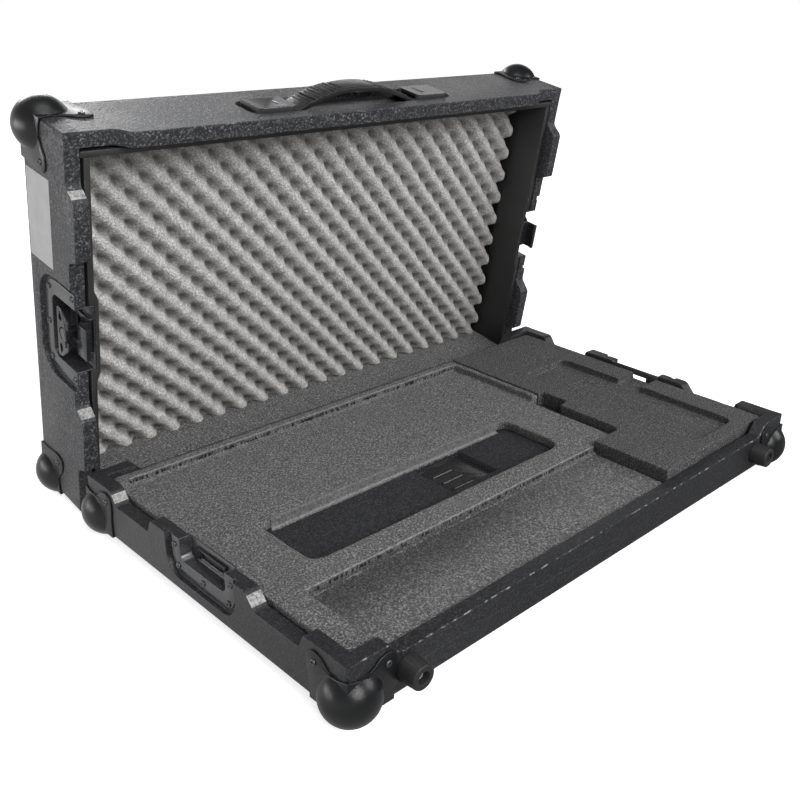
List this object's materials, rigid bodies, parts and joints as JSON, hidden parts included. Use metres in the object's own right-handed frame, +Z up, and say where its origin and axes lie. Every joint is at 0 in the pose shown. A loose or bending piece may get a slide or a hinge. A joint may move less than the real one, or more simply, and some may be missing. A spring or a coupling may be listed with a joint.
{
  "type": "guitar pedal case",
  "caption": "Open case for effect pedals: flat base with cut foam, and a deep lift-off lid with egg-crate foam, turning butterfly latches, a strap handle and ball corners.",
  "frame": {"origin": "on the floor, under the middle of the whole object's box, with the base lying flat and the lid standing behind it", "axes": "+X to the right along the case's long side, +Y to the back, from the base towards the standing lid, +Z up"},
  "size_m": [0.7112, 0.5576, 0.4315],
  "materials": {
    "case_paint": "boards under a hard textured charcoal paint",
    "black_steel": "black satin coating on pressed steel",
    "bright_steel": "zinc plated",
    "rubber": "matt rubber",
    "grip_plastic": "moulded, satin",
    "base_foam": "open-cell foam, cut",
    "floor_foam": "open-cell foam, cut",
    "egg_foam": "convoluted open-cell foam",
    "pad_plastic": "glossy moulded ribs"
  },
  "bodies": {
    "base": {"base_floor": "case_paint", "base_front_wall": "case_paint", "base_back_wall": "case_paint", "base_left_wall": "case_paint", "base_right_wall": "case_paint", "base_corner_front_left": "black_steel", "base_corner_front_right": "black_steel", "base_corner_back_left": "black_steel", "base_corner_back_right": "black_steel", "base_corner_screws": "black_steel", "base_dish_left": "black_steel", "base_dish_right": "black_steel", "keeper_left": "black_steel", "keeper_right": "black_steel", "base_dish_screws": "black_steel", "rubber_foot_left": "rubber", "rubber_foot_right": "rubber", "foot_washers": "bright_steel", "foot_screws": "black_steel", "foam_floor": "floor_foam", "foam_main": "base_foam", "foam_side": "base_foam", "ribbed_pad": "pad_plastic"},
    "lid": {"lid_panel": "case_paint", "lid_bottom_wall": "case_paint", "lid_top_wall": "case_paint", "lid_left_wall": "case_paint", "lid_right_wall": "case_paint", "lid_liner_left": "case_paint", "lid_liner_right": "case_paint", "lid_liner_top": "case_paint", "lid_corner_front_left": "black_steel", "lid_corner_front_right": "black_steel", "lid_corner_back_left": "black_steel", "lid_corner_back_right": "black_steel", "lid_corner_screws": "black_steel", "lid_dish_left": "black_steel", "lid_dish_right": "black_steel", "lid_dish_screws": "black_steel", "lid_foam_egg": "egg_foam", "lid_foam_bottom": "base_foam", "handle_cap_left": "grip_plastic", "handle_cap_right": "grip_plastic", "handle_bolts": "bright_steel"},
    "latch_cam_left": {"latch_cam_left": "black_steel"},
    "latch_wing_left": {"latch_wing_left": "black_steel"},
    "latch_hook_left": {"latch_hook_left": "black_steel"},
    "latch_cam_right": {"latch_cam_right": "black_steel"},
    "latch_wing_right": {"latch_wing_right": "black_steel"},
    "latch_hook_right": {"latch_hook_right": "black_steel"},
    "grip": {"handle_grip": "grip_plastic", "handle_strip": "bright_steel"}
  },
  "joints": [
    {"name": "lid_lift", "type": "slide", "parent": "base", "child": "lid", "axis": [0, 0, 1], "range_m": [0, 0.1]},
    {"name": "latch_turn_left", "type": "hinge", "parent": "lid", "child": "latch_cam_left", "pos_m": [-0.31785, 0.17553, 0.20814], "axis": [1, 0, 0], "range_deg": [0, 180]},
    {"name": "wing_fold_left", "type": "hinge", "parent": "latch_cam_left", "child": "latch_wing_left", "pos_m": [-0.33565, 0.17011, 0.20721], "axis": [0, -0.169, 0.9856], "range_deg": [0, 90]},
    {"name": "hook_slide_left", "type": "slide", "parent": "lid", "child": "latch_hook_left", "axis": [0, 0.9856, 0.169], "range_m": [0, 0.008]},
    {"name": "latch_turn_right", "type": "hinge", "parent": "lid", "child": "latch_cam_right", "pos_m": [0.32215, 0.17553, 0.20814], "axis": [1, 0, 0], "range_deg": [0, 180]},
    {"name": "wing_fold_right", "type": "hinge", "parent": "latch_cam_right", "child": "latch_wing_right", "pos_m": [0.33995, 0.17011, 0.20721], "axis": [0, 0.169, -0.9856], "range_deg": [0, 90]},
    {"name": "hook_slide_right", "type": "slide", "parent": "lid", "child": "latch_hook_right", "axis": [0, 0.9856, 0.169], "range_m": [0, 0.008]},
    {"name": "grip_lift", "type": "slide", "parent": "lid", "child": "grip", "axis": [0, -0.169, 0.9856], "range_m": [0, 0.004]}
  ],
  "couplings": [
    {"joint": "hook_slide_left", "follows": "latch_turn_left", "m_per_rad": 0.0025465},
    {"joint": "hook_slide_right", "follows": "latch_turn_right", "m_per_rad": 0.0025465}
  ]
}
